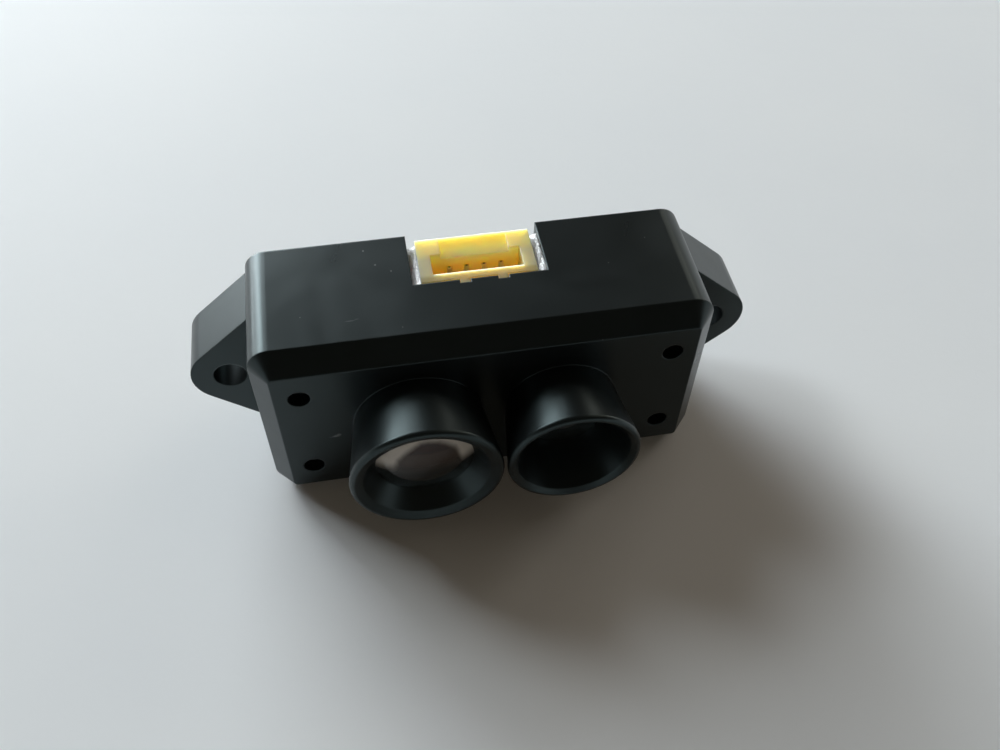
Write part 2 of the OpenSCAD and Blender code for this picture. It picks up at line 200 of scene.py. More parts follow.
def lay_floor():
    """Pale laminate table: a dull white with a slight pebble and faint cloudy patches."""
    mesh = bpy.data.meshes.new("floor")
    corners = [(x * TABLE_HALF, y * TABLE_HALF, 0) for x, y in ((-1, -1), (1, -1), (1, 1), (-1, 1))]
    mesh.from_pydata(corners, [], [(0, 1, 2, 3)])
    floor = bpy.data.objects.new("floor", mesh)
    material, tree, shader, place = new_finish("pale_table", {"Roughness": 0.7, "Specular IOR Level": 0.2})
    clouds = add_node(tree, "ShaderNodeTexNoise", {"Vector": place, "Scale": per_mm(22), "Detail": 3})
    tone = add_node(tree, "ShaderNodeMix", {"data_type": "RGBA", 0: clouds.outputs["Fac"],
                                            6: srgb("#e8ecef"), 7: srgb("#eef1f2")})
    pebble = add_node(tree, "ShaderNodeTexNoise", {"Vector": place, "Scale": per_mm(1.1), "Detail": 2})
    bump = add_node(tree, "ShaderNodeBump", {"Height": pebble.outputs["Fac"], "Strength": 0.35,
                                             "Distance": 0.03 * MM})
    tree.links.new(tone.outputs[2], shader.inputs["Base Color"])
    tree.links.new(bump.outputs[0], shader.inputs["Normal"])
    reach = add_node(tree, "ShaderNodeVectorMath", {"operation": "LENGTH", 0: place}).outputs["Value"]
    gone = add_node(tree, "ShaderNodeMapRange", {**SMOOTH, "Value": reach, "From Min": TABLE_FROM,
                                                 "From Max": TABLE_GONE}).outputs[0]
    far = add_node(tree, "ShaderNodeEmission", {"Color": srgb(PALE_WALL), "Strength": 1.0}).outputs[0]
    blend = add_node(tree, "ShaderNodeMixShader", {0: only_seen(tree, gone), 1: shader.outputs[0], 2: far})
    add_node(tree, "ShaderNodeOutputMaterial", {"Surface": blend.outputs[0], "is_active_output": True})
    mesh.materials.append(material)
    scene.collection.objects.link(floor)


# Marks and features that more than one finish has

def soft_edges(tree, radius):
    """Normal that rounds edges by radius in mm, and a mask from 0 on a face to 1 on an edge."""
    rounded = add_node(tree, "ShaderNodeBevel", {"samples": 6, "Radius": radius * MM}).outputs[0]
    true = add_node(tree, "ShaderNodeNewGeometry", {}).outputs["Normal"]
    turn = add_node(tree, "ShaderNodeVectorMath", {"operation": "DOT_PRODUCT", 0: rounded, 1: true})
    face_cosine, edge_cosine = 0.995, 0.85
    edge = add_node(tree, "ShaderNodeMapRange", {"Value": turn.outputs["Value"], "From Min": face_cosine,
                                                 "From Max": edge_cosine})
    return rounded, edge.outputs[0]


def grainy(tree, place, size, depth, normal=None):
    """Normal of a surface with a fine random grain, whose size and depth are in mm."""
    grain = add_node(tree, "ShaderNodeTexNoise", {"Vector": place, "Scale": per_mm(size), "Detail": 2})
    settings = {"Height": grain.outputs["Fac"], "Distance": depth * MM}
    if normal:
        settings["Normal"] = normal
    return add_node(tree, "ShaderNodeBump", settings).outputs[0]


def marks(tree, place, spots):
    """Mask of soft oval marks, each given by its centre and half sizes in mm."""
    full_within = 0.4
    total = None
    for centre, half in spots:
        away = add_node(tree, "ShaderNodeVectorMath", {"operation": "SUBTRACT", 0: place,
                                                       1: Vector(centre) * MM})
        span = add_node(tree, "ShaderNodeVectorMath", {"operation": "DIVIDE", 0: away.outputs[0],
                                                       1: Vector(half) * MM})
        reach = add_node(tree, "ShaderNodeVectorMath", {"operation": "LENGTH", 0: span.outputs[0]})
        spot = add_node(tree, "ShaderNodeMapRange", {"Value": reach.outputs["Value"], "From Min": 1,
                                                     "From Max": full_within}).outputs[0]
        if total:
            spot = add_node(tree, "ShaderNodeMath", {"operation": "MAXIMUM", 0: total, 1: spot}).outputs[0]
        total = spot
    return total


# Finishes of the moulded pieces

# Marks on the housing, each by its centre and half sizes in mm: dust with a smudge, and scratches
DUST = [((-7.52, 6.96, 15), (0.07, 0.1, 0.1)), ((-6.81, 5.44, 15), (0.09, 0.08, 0.1)),
        ((-5.77, 4.68, 15), (0.06, 0.1, 0.1)), ((9.4, 3.1, 15), (0.06, 0.05, 0.1)),
        ((-12.2, 1.3, 15), (0.05, 0.06, 0.1)), ((12.6, 5.2, 15), (0.05, 0.05, 0.1)),
        ((-11.0, -2.8, 6.78), (0.34, 0.12, 0.13)), ((-10.8, -2.8, 6.9), (0.2, 0.12, 0.18))]
SCRATCHES = [((-8.94, 0.46, 15), (0.42, 0.06, 0.1)), ((-8.5, 0.56, 15), (0.2, 0.04, 0.1)),
             ((-11.25, -2.8, 6.73), (0.36, 0.1, 0.07)), ((-11.0, -2.8, 6.85), (0.2, 0.1, 0.16))]
# How much of the black the dust and the scratches cover where they are densest
DUST_COVER, SCRATCH_COVER = 0.35, 0.22
# Scattered motes: cell in mm, a mote's rim and core as shares of it, and the share of cells without one
MOTE_CELL, MOTE_RIM, MOTE_CORE, MOTE_NONE = 2.6, 0.022, 0.012, 0.82


def handled(tree, place, tone, dull):
    """Dust, a finger smudge and fine scratches from use: paler specks, the dust duller too."""
    cells = add_node(tree, "ShaderNodeTexVoronoi", {"Vector": place, "Scale": per_mm(MOTE_CELL)})
    near = add_node(tree, "ShaderNodeMapRange", {"Value": cells.outputs["Distance"], "From Min": MOTE_RIM,
                                                 "From Max": MOTE_CORE}).outputs[0]
    chance = add_node(tree, "ShaderNodeSeparateXYZ", {0: cells.outputs["Color"]}).outputs[0]
    few = add_node(tree, "ShaderNodeMath", {"operation": "GREATER_THAN", 0: chance, 1: MOTE_NONE}).outputs[0]
    motes = add_node(tree, "ShaderNodeMath", {"operation": "MULTIPLY", 0: near, 1: few}).outputs[0]
    dust = add_node(tree, "ShaderNodeMath", {"operation": "MAXIMUM", 0: motes,
                                             1: marks(tree, place, DUST)}).outputs[0]
    dust = add_node(tree, "ShaderNodeMath", {"operation": "MULTIPLY", 0: dust, 1: DUST_COVER}).outputs[0]
    tone = add_node(tree, "ShaderNodeMix", {"data_type": "RGBA", 0: dust, 6: tone,
                                            7: srgb("#a8aaa8")}).outputs[2]
    scrape = add_node(tree, "ShaderNodeMath", {"operation": "MULTIPLY", 0: marks(tree, place, SCRATCHES),
                                               1: SCRATCH_COVER}).outputs[0]
    tone = add_node(tree, "ShaderNodeMix", {"data_type": "RGBA", 0: scrape, 6: tone,
                                            7: srgb("#8d9092")}).outputs[2]
    dull = add_node(tree, "ShaderNodeMath", {"operation": "ADD", 0: dull, 1: dust}).outputs[0]
    return tone, dull


def moulded_black(name, colour, rough, grain, touched):
    """ABS blend, moulded in a spark-eroded tool: near black, satin, finely grained, edges a little rubbed."""
    material, tree, shader, place = new_finish(name, {"Specular IOR Level": 0.5,
                                                      "Specular Tint": srgb("#d8f4f6")})
    rounded, edge = soft_edges(tree, 0.14)
    smear = add_node(tree, "ShaderNodeTexNoise", {"Vector": place, "Scale": per_mm(7), "Detail": 4,
                                                  "Distortion": 0.8}).outputs["Fac"]
    rubbed = add_node(tree, "ShaderNodeMath", {"operation": "MULTIPLY", 0: edge, 1: smear})
    tone = add_node(tree, "ShaderNodeMix", {"data_type": "RGBA", 0: rubbed.outputs[0], 6: srgb(colour),
                                            7: srgb("#26292b")}).outputs[2]
    dull = add_node(tree, "ShaderNodeMapRange", {"Value": smear, "From Min": 0.3, "From Max": 0.7,
                                                 "To Min": rough - 0.03, "To Max": rough + 0.05}).outputs[0]
    if touched:
        tone, dull = handled(tree, place, tone, dull)
    tree.links.new(tone, shader.inputs["Base Color"])
    tree.links.new(dull, shader.inputs["Roughness"])
    tree.links.new(grainy(tree, place, *grain, rounded), shader.inputs["Normal"])
    return material


# Painted light and shade on the header, each laid over those before it: its place, its colour and the edges
# that bound it.
# An edge has an axis and where it starts and is full along it, in mm from the header's rear top edge
# The brighter rear, ramp and cavity are a painted glow of light coming through the thin rear wall; the darker
# front rim is painted shade
HEADER_PAINTED_LIGHT = [("rear part, painted glow", "#f6dd8e", [("Y", -2.2, -1.3)]),
                ("ramp, painted glow", "#fff3bc", [("Y", -2.2, -1.3), ("Z", -0.05, -0.3)]),
                ("cavity, painted amber glow", "#f0d878", [("Z", -0.3, -1.5), ("Y", -1.4, -1.7)]),
                # Painted shade: the rear face is darkened to hold back the strong light that falls on it
                ("rear face", "#a49468", [("Y", -0.2, -0.05)]),
                ("front rim, painted shade", "#b8a672", [("Y", -3.5, -3.9)])]


def header_nylon():
    """Cream nylon, moulded and polished: light soaks in and glows warm inside. Over it lie a painted glow on
    the rear, ramp and cavity, and painted shade on the rear face and front rim.
    """
    material, tree, shader, place = new_finish("header_nylon_cream", {
        "Roughness": 0.36, "Subsurface Weight": 1, "Subsurface Radius": (1, 0.72, 0.35),
        "Subsurface Scale": 3 * MM})
    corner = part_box("header_shell")[1]
    away = add_node(tree, "ShaderNodeVectorMath", {"operation": "SUBTRACT", 0: place, 1: corner}).outputs[0]
    axes = add_node(tree, "ShaderNodeSeparateXYZ", {0: away})
    tone = srgb("#d3c398")
    # Lays the painted glow and painted shade over the base cream
    for where, colour, edges in HEADER_PAINTED_LIGHT:
        mask = 1
        for axis, start, full in edges:
            step = add_node(tree, "ShaderNodeMapRange", {**SMOOTH, "Value": axes.outputs[axis],
                                                         "From Min": start * MM, "From Max": full * MM})
            mask = add_node(tree, "ShaderNodeMath", {"operation": "MULTIPLY", 0: step.outputs[0],
                                                     1: mask, "label": where}).outputs[0]
        tone = add_node(tree, "ShaderNodeMix", {"data_type": "RGBA", 0: mask, 6: tone,
                                                7: srgb(colour)}).outputs[2]
    flow = add_node(tree, "ShaderNodeTexNoise", {"Vector": place, "Scale": per_mm(1.6), "Detail": 3,
                                                 "Distortion": 0.5}).outputs["Fac"]
    tone = add_node(tree, "ShaderNodeMix", {"data_type": "RGBA", "blend_type": "MULTIPLY", 0: 0.1, 6: tone,
                                            7: flow}).outputs[2]
    tree.links.new(tone, shader.inputs["Base Color"])
    tree.links.new(grainy(tree, place, 0.2, 0.003, soft_edges(tree, 0.06)[0]), shader.inputs["Normal"])
    return material


# How far behind the glue's front its painted glow starts to turn greyer and has done so, in mm
GLUE_GLOW_FULL, GLUE_GLOW_GONE = 0.3, 1.3


def cured_glue():
    """Clear glue, set with a wet gloss: cloudy and full of tiny bubbles, white in front in a painted glow and
    greyer behind.
    """
    material, tree, shader, place = new_finish("cured_clear_glue", {
        "IOR": 1.46, "Transmission Weight": 0.1, "Subsurface Weight": 1, "Subsurface Radius": (1, 1, 1),
        "Subsurface Scale": 3 * MM})
    bubbles = add_node(tree, "ShaderNodeTexVoronoi", {"Vector": place, "Scale": per_mm(0.22)})
    cloud = add_node(tree, "ShaderNodeTexNoise", {"Vector": place, "Scale": per_mm(0.8),
                                                  "Detail": 3}).outputs["Fac"]
    axes = add_node(tree, "ShaderNodeSeparateXYZ", {0: place})
    front = box_mm("connector_glue")[0].y
    rear = add_node(tree, "ShaderNodeMapRange", {**SMOOTH, "Value": axes.outputs["Y"],
                                                 "From Min": (front + GLUE_GLOW_FULL) * MM,
                                                 "From Max": (front + GLUE_GLOW_GONE) * MM}).outputs[0]
    # Painted glow: whiter at the front, where light that runs through the glue comes out, and greyer behind
    tone = add_node(tree, "ShaderNodeMix", {"data_type": "RGBA", 0: rear, 6: srgb("#fbfcfc"),
                                            7: srgb("#eceeef")}).outputs[2]
    tone = add_node(tree, "ShaderNodeMix", {"data_type": "RGBA", "blend_type": "MULTIPLY", 0: 0.12, 6: tone,
                                            7: cloud}).outputs[2]
    dull = add_node(tree, "ShaderNodeMapRange", {"Value": cloud, "To Min": 0.15, "To Max": 0.4}).outputs[0]
    bump = add_node(tree, "ShaderNodeBump", {"Height": bubbles.outputs["Distance"],
                                             "Distance": 0.03 * MM}).outputs[0]
    tree.links.new(tone, shader.inputs["Base Color"])
    tree.links.new(dull, shader.inputs["Roughness"])
    tree.links.new(bump, shader.inputs["Normal"])
    return material


# Finishes of the optics

# Painted light on a lens, in shares of its radius: where each part starts and is full, over the distance from
# the middle (out, or wide where the sides count more) or over the height above it (up)
# All of it is painted: a pale glint on the rim's upper part as a painted reflection, an upper half lighter
# than the lower as painted light and shade, and a dark spot painted in the middle for what is seen through
# the lens
LENS_PATTERN = {"rim": ("wide", 0.68, 0.86), "lit_half": ("up", -0.05, 0.34), "upper_half_painted_lighter": ("up", -0.1, 0.35),
                "spot_above": ("up", 0.48, 0.6), "spot_within": ("out", 0.76, 0.64)}
# Shift of the pattern's middle, how far streaks make it wander, and how much more its sides count
LENS_OFFSET = (0.07, 0, 0.03)
LENS_WANDER = 0.06
LENS_WIDEN = 0.12


def lens_finish(name, node, coat, painted_upper_tone, painted_spot_tone, painted_glint):
    """Moulded acrylic lens, coated against glare: dark and clear, with a painted pale glint on its rim that
    fades below, and painted light and shade making it lighter above and darker below.
    """
    low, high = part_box(node)
    material, tree, shader, place = new_finish(name, {
        "Roughness": 0.09, "IOR": 1.49, "Specular IOR Level": 0.25, "Coat Weight": 0.12,
        "Coat Roughness": 0.05, "Coat IOR": 1.6, "Coat Tint": srgb(coat)})
    away = add_node(tree, "ShaderNodeVectorMath", {"operation": "SUBTRACT", 0: place, 1: (low + high) / 2})
    share = add_node(tree, "ShaderNodeVectorMath", {"operation": "SCALE", 0: away.outputs[0],
                                                    "Scale": 2 / (high.x - low.x)})
    across = add_node(tree, "ShaderNodeVectorMath", {"operation": "MULTIPLY", 0: share.outputs[0],
                                                     1: (1, 0, 1)}).outputs[0]
    streaks = add_node(tree, "ShaderNodeTexNoise", {"Vector": across, "Scale": 2.2, "Detail": 2,
                                                    "Distortion": 0.6}).outputs["Fac"]
    wander = add_node(tree, "ShaderNodeMapRange", {"Value": streaks, "To Min": -LENS_WANDER,
                                                   "To Max": LENS_WANDER}).outputs[0]
    off = add_node(tree, "ShaderNodeVectorMath", {"operation": "SUBTRACT", 0: across,
                                                  1: LENS_OFFSET}).outputs[0]
    out = add_node(tree, "ShaderNodeVectorMath", {"operation": "LENGTH", 0: off}).outputs["Value"]
    out = add_node(tree, "ShaderNodeMath", {"operation": "ADD", 0: out, 1: wander}).outputs[0]
    side = add_node(tree, "ShaderNodeSeparateXYZ", {0: off}).outputs["X"]
    side = add_node(tree, "ShaderNodeMath", {"operation": "ABSOLUTE", 0: side}).outputs[0]
    wide = add_node(tree, "ShaderNodeMath", {"operation": "MULTIPLY_ADD", 0: side, 1: LENS_WIDEN,
                                             2: out}).outputs[0]
    up = add_node(tree, "ShaderNodeSeparateXYZ", {0: across}).outputs["Z"]
    up = add_node(tree, "ShaderNodeMath", {"operation": "ADD", 0: up, 1: wander}).outputs[0]
    measures = {"out": out, "wide": wide, "up": up}
    part = {}
    for title, (measure, start, full) in LENS_PATTERN.items():
        part[title] = add_node(tree, "ShaderNodeMapRange", {**SMOOTH, "Value": measures[measure],
                                                            "From Min": start, "From Max": full}).outputs[0]
    # Painted glint: the rim's pale reflection, kept to the upper part
    pale = add_node(tree, "ShaderNodeMath", {"operation": "MULTIPLY", 0: part["rim"],
                                             1: part["lit_half"]}).outputs[0]
    spot = add_node(tree, "ShaderNodeMath", {"operation": "MULTIPLY", 0: part["spot_above"],
                                             1: part["spot_within"]}).outputs[0]
    # Darker lower half in painted shade, under the painted lighter upper half, the painted spot and the
    # painted glint
    tone = srgb("#262b2b")
    for mask, colour in ((part["upper_half_painted_lighter"], painted_upper_tone), (spot, painted_spot_tone), (pale, painted_glint)):
        tone = add_node(tree, "ShaderNodeMix", {"data_type": "RGBA", 0: mask, 6: tone,
                                                7: srgb(colour)}).outputs[2]
    clear = add_node(tree, "ShaderNodeMapRange", {"Value": pale, "To Min": 0.3, "To Max": 0}).outputs[0]
    tree.links.new(tone, shader.inputs["Base Color"])
    tree.links.new(clear, shader.inputs["Transmission Weight"])
    tree.links.new(grainy(tree, place, 0.6, 0.001), shader.inputs["Normal"])
    return material


def filter_glass():
    """Band-pass glass: a mirror-smooth, very dark red plate with a slight purple film."""
    material, tree, shader, place = new_finish("band_pass_glass", {
        "Roughness": 0.06, "IOR": 1.52, "Coat Weight": 0.8, "Coat Roughness": 0.04,
        "Coat Tint": srgb("#c77fb4")})
    cloud = add_node(tree, "ShaderNodeTexNoise", {"Vector": place, "Scale": per_mm(2.5), "Detail": 2})
    tone = add_node(tree, "ShaderNodeMix", {"data_type": "RGBA", 0: cloud.outputs["Fac"],
                                            6: srgb("#2a0a10"), 7: srgb("#47131a")}).outputs[2]
    tree.links.new(tone, shader.inputs["Base Color"])
    tree.links.new(grainy(tree, place, 0.8, 0.001), shader.inputs["Normal"])
    return material


def cast_silicone():
    """Cast silicone dome: clear as water, with a faint haze in patches."""
    material, tree, shader, place = new_finish("cast_silicone", {
        "Base Color": srgb("#f1f3f2"), "IOR": 1.41, "Transmission Weight": 0.95})
    haze = add_node(tree, "ShaderNodeTexNoise", {"Vector": place, "Scale": per_mm(0.5), "Detail": 2})
    dull = add_node(tree, "ShaderNodeMapRange", {"Value": haze.outputs["Fac"], "To Min": 0.03,
                                                 "To Max": 0.18}).outputs[0]
    tree.links.new(dull, shader.inputs["Roughness"])
    tree.links.new(grainy(tree, place, 0.4, 0.002), shader.inputs["Normal"])
    return material


# Finishes of the board and what is soldered to it

# Copper tracks in mm: half their width, the pitch of the long ones, and the pitch of those that join them
TRACK_HALF, TRACK_PITCH, TRACK_RUN = 0.07, 0.42, 6.5


def masked_board():
    """Glass-epoxy board under green solder mask: glossy, with paler tracks under it and a raw straw edge."""
    material, tree, shader, place = new_finish("masked_board", {"Roughness": 0.3, "Coat Weight": 0.3})
    in_mm = add_node(tree, "ShaderNodeMapping", {"Vector": place, "Rotation": (math.radians(90), 0, 0),
                                                 "Scale": (per_mm(1),) * 3}).outputs[0]
    runs = add_node(tree, "ShaderNodeTexBrick", {"Vector": in_mm, "Scale": 1, "Mortar Size": TRACK_HALF,
                                                 "Mortar Smooth": 0.2, "Brick Width": TRACK_RUN,
                                                 "Row Height": TRACK_PITCH}).outputs["Fac"]
    areas = add_node(tree, "ShaderNodeTexNoise", {"Vector": place, "Scale": per_mm(3.5), "Detail": 0})
    routed = add_node(tree, "ShaderNodeMapRange", {**SMOOTH, "Value": areas.outputs["Fac"], "From Min": 0.52,
                                                   "From Max": 0.54}).outputs[0]
    tracks = add_node(tree, "ShaderNodeMath", {"operation": "MULTIPLY", 0: runs, 1: routed}).outputs[0]
    mask = add_node(tree, "ShaderNodeMix", {"data_type": "RGBA", 0: tracks, 6: srgb("#13472d"),
                                            7: srgb("#1c5f3b")}).outputs[2]
    turned = add_node(tree, "ShaderNodeNewGeometry", {}).outputs["True Normal"]
    facing = add_node(tree, "ShaderNodeSeparateXYZ", {0: turned}).outputs["Y"]
    flat = add_node(tree, "ShaderNodeMath", {"operation": "ABSOLUTE", 0: facing}).outputs[0]
    face = add_node(tree, "ShaderNodeMath", {"operation": "GREATER_THAN", 0: flat, 1: 0.5}).outputs[0]
    plies = add_node(tree, "ShaderNodeTexWave", {"Vector": place, "Scale": per_mm(0.9),
                                                 "bands_direction": "Y", "Distortion": 0.6}).outputs["Fac"]
    raw = add_node(tree, "ShaderNodeMix", {"data_type": "RGBA", 0: plies, 6: srgb("#a8925a"),
                                           7: srgb("#c7b47c")}).outputs[2]
    tone = add_node(tree, "ShaderNodeMix", {"data_type": "RGBA", 0: face, 6: raw, 7: mask}).outputs[2]
    bump = add_node(tree, "ShaderNodeBump", {"Height": tracks, "Distance": 0.02 * MM}).outputs[0]
    tree.links.new(tone, shader.inputs["Base Color"])
    tree.links.new(bump, shader.inputs["Normal"])
    return material


def soldered_part(name, body, fleck, grain_mm, rough, tin=None):
    """Moulded or sintered part: fine flecks in a dull body, with bright tin where the function tin has it."""
    material, tree, shader, place = new_finish(name, {"Roughness": rough})
    speck = add_node(tree, "ShaderNodeTexNoise", {"Vector": place, "Scale": per_mm(grain_mm), "Detail": 3})
    flecks = add_node(tree, "ShaderNodeMapRange", {**SMOOTH, "Value": speck.outputs["Fac"], "From Min": 0.35,
                                                   "From Max": 0.65}).outputs[0]
    tone = add_node(tree, "ShaderNodeMix", {"data_type": "RGBA", 0: flecks, 6: srgb(body),
                                            7: srgb(fleck)}).outputs[2]
    if tin:
        bare = tin(tree, place)
        tone = add_node(tree, "ShaderNodeMix", {"data_type": "RGBA", 0: bare, 6: tone,
                                                7: srgb("#c9c8c3")}).outputs[2]
        dull = add_node(tree, "ShaderNodeMapRange", {"Value": bare, "To Min": rough,
                                                     "To Max": 0.32}).outputs[0]
        tree.links.new(bare, shader.inputs["Metallic"])
        tree.links.new(dull, shader.inputs["Roughness"])
    tree.links.new(tone, shader.inputs["Base Color"])
    tree.links.new(grainy(tree, place, grain_mm, 0.005, soft_edges(tree, 0.05)[0]), shader.inputs["Normal"])
    return material


# Two-ended parts in columns along X, in mm: middle of the first column, pitch, half the bare body's width
COLUMNS = {"supply_capacitors": (8.6, 20, 1.15), "small_capacitors": (-3.6, 1.5, 0.27),
           "small_resistors": (-3.6, 1.5, 0.3)}


def end_caps(tree, place, node):
    """Mask of the tinned ends of a node's parts."""
    first, pitch, half = COLUMNS[node]
    # The half sets each part's middle halfway through its column, and the hundred keeps the count above zero
    start = 100.5 - first / pitch
    across = add_node(tree, "ShaderNodeSeparateXYZ", {0: place}).outputs["X"]
    column = add_node(tree, "ShaderNodeMath", {"operation": "MULTIPLY_ADD", 0: across, 1: 1 / (pitch * MM),
                                               2: start}).outputs[0]
    within = add_node(tree, "ShaderNodeMath", {"operation": "FRACT", 0: column}).outputs[0]
    side = add_node(tree, "ShaderNodeMath", {"operation": "SUBTRACT", 0: within, 1: 0.5}).outputs[0]
    away = add_node(tree, "ShaderNodeMath", {"operation": "ABSOLUTE", 0: side}).outputs[0]
    return add_node(tree, "ShaderNodeMath", {"operation": "GREATER_THAN", 0: away,
                                             1: half / pitch}).outputs[0]


# How far each chip's leads stand out of its body along X and Z, in mm
LEAD_REACH = {"processor_chip": (0.5, 0.5), "driver_chip": (0, 0.5), "voltage_regulator": (0, 0.6)}
# Margin in mm that keeps the faces of the body itself inside
HAIR_MM = 0.01


def bare_leads(tree, place, node):
    """Mask of a chip's tinned leads, which are all that lies outside its body."""
    low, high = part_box(node)
    reach_x, reach_z = LEAD_REACH[node]
    half = (high - low) / 2 + Vector((HAIR_MM - reach_x, HAIR_MM, HAIR_MM - reach_z)) * MM
    away = add_node(tree, "ShaderNodeVectorMath", {"operation": "SUBTRACT", 0: place, 1: (low + high) / 2})
    size = add_node(tree, "ShaderNodeVectorMath", {"operation": "ABSOLUTE", 0: away.outputs[0]})
    past = add_node(tree, "ShaderNodeVectorMath", {"operation": "DIVIDE", 0: size.outputs[0], 1: half})
    axes = add_node(tree, "ShaderNodeSeparateXYZ", {0: past.outputs[0]})
    far = add_node(tree, "ShaderNodeMath", {"operation": "MAXIMUM", 0: axes.outputs["X"],
                                            1: axes.outputs["Z"]}).outputs[0]
    return add_node(tree, "ShaderNodeMath", {"operation": "GREATER_THAN", 0: far, 1: 1}).outputs[0]


def plated_metal(name, colour, rough, line_mm, tarnish, edge_mm, shine=1, painted_shade_marks=()):
    """Plated metal: bright, with fine lines along its length, clouded by handling, with painted shade at
    given marks.
    """
    material, tree, shader, place = new_finish(name, {"Metallic": shine})
    drawn = add_node(tree, "ShaderNodeMapping", {"Vector": place, "Scale": (1, 1, 0.08)}).outputs[0]
    lines = add_node(tree, "ShaderNodeTexNoise", {"Vector": drawn, "Scale": per_mm(line_mm), "Detail": 2})
    cloud = add_node(tree, "ShaderNodeTexNoise", {"Vector": place, "Scale": per_mm(0.9),
                                                  "Detail": 3}).outputs["Fac"]
    clouded = add_node(tree, "ShaderNodeMapRange", {**SMOOTH, "Value": cloud, "From Min": 0.35,
                                                    "From Max": 0.75}).outputs[0]
    tone = add_node(tree, "ShaderNodeMix", {"data_type": "RGBA", 0: clouded, 6: srgb(colour),
                                            7: srgb(tarnish)}).outputs[2]
    if painted_shade_marks:
        # Painted shade at the given marks
        tone = add_node(tree, "ShaderNodeMix", {"data_type": "RGBA", 0: marks(tree, place, painted_shade_marks), 6: tone,
                                                7: srgb("#3a2208")}).outputs[2]
    dull = add_node(tree, "ShaderNodeMapRange", {"Value": cloud, "To Min": rough - 0.08,
                                                 "To Max": rough + 0.12}).outputs[0]
    bump = add_node(tree, "ShaderNodeBump", {"Height": lines.outputs["Fac"], "Distance": 0.002 * MM,
                                             "Normal": soft_edges(tree, edge_mm)[0]}).outputs[0]
    tree.links.new(tone, shader.inputs["Base Color"])
    tree.links.new(dull, shader.inputs["Roughness"])
    tree.links.new(bump, shader.inputs["Normal"])
    return material


# How far in front of a contact's rear face the painted shade on its tip lies, and its half sizes, in mm
TIP_INSET = 0.13
TIP_SHADE_HALF = (0.12, 0.12, 0.24)


def contact_tip_shade():
    """Painted shade on the tips of the four contacts."""
    tips = []
    for number in (1, 2, 3, 4):
        low, high = box_mm(f"header_pin_{number}")
        tips.append((((low.x + high.x) / 2, high.y - TIP_INSET, high.z), TIP_SHADE_HALF))
    return tips


# Pieces that the frame has only as plain blocks

# Faces of a glue bead across its gap and along it
BEAD_ACROSS, BEAD_ALONG = 10, 40
# Height of its top as shares of the glue's block: at the front, lost by the back, and the most it reaches
BEAD_FRONT, BEAD_SAG, BEAD_MOST = 1.05, 0.3, 1.17
# Shares that it gains from its left wall to its right one, and that its top and its underside vary by
BEAD_CLIMB, BEAD_RIPPLE, BEAD_UNDER = 0.22, 0.08, 0.1
# Waves of its skin: how many to a millimetre across and along, and how much they count
BEAD_WAVES = [(3, 1.7, 0.5), (6, 5, 0.25)]
# Glue drops on the notch's right wall: places along Y and Z with radii, and height, all in mm
DROPS = [(5.85, 14.68, 0.2), (4.9, 14.72, 0.13), (6.7, 14.5, 0.16), (5.3, 14.45, 0.1)]
DROP_HEIGHT = 0.09
# Faces of a drop from its tip to its rim and round it, and how much its reach varies
DROP_RINGS, DROP_TURNS, DROP_UNEVEN = 4, 14, 0.25


def glue_bead(mesh, left, right, low, high, seed):
    """Bead of glue in a gap, in mm: it climbs the wall on its right and thins out towards the back."""
    grid = {}
    for i in range(BEAD_ACROSS + 1):
        for j in range(BEAD_ALONG + 1):
            u, v = i / BEAD_ACROSS, j / BEAD_ALONG
            x = left + (right - left) * u
            y = low.y + (high.y - low.y) * v
            ripple = sum(noise.noise(Vector((x * a, y * b, seed))) * part for a, b, part in BEAD_WAVES)
            rise = BEAD_FRONT - BEAD_SAG * v + BEAD_CLIMB * (u - 0.5) + BEAD_RIPPLE * ripple
            shares = {"top": min(BEAD_MOST, rise), "under": max(0, BEAD_UNDER - BEAD_UNDER * ripple)}
            for side, share in shares.items():
                z = low.z + (high.z - low.z) * share
                grid[side, i, j] = mesh.verts.new((x * MM, y * MM, z * MM))
    for i in range(BEAD_ACROSS):
        for j in range(BEAD_ALONG):
            top = ((i, j), (i + 1, j), (i + 1, j + 1), (i, j + 1))
            under = ((i, j), (i, j + 1), (i + 1, j + 1), (i + 1, j))
            mesh.faces.new([grid["top", a, b] for a, b in top])
            mesh.faces.new([grid["under", a, b] for a, b in under])
    for i in range(BEAD_ACROSS):
        for j, order in ((0, 1), (BEAD_ALONG, -1)):
            ends = [grid["under", i, j], grid["under", i + 1, j], grid["top", i + 1, j], grid["top", i, j]]
            mesh.faces.new(ends[::order])
    for j in range(BEAD_ALONG):
        for i, order in ((0, -1), (BEAD_ACROSS, 1)):
            sides = [grid["under", i, j], grid["under", i, j + 1], grid["top", i, j + 1], grid["top", i, j]]
            mesh.faces.new(sides[::order])


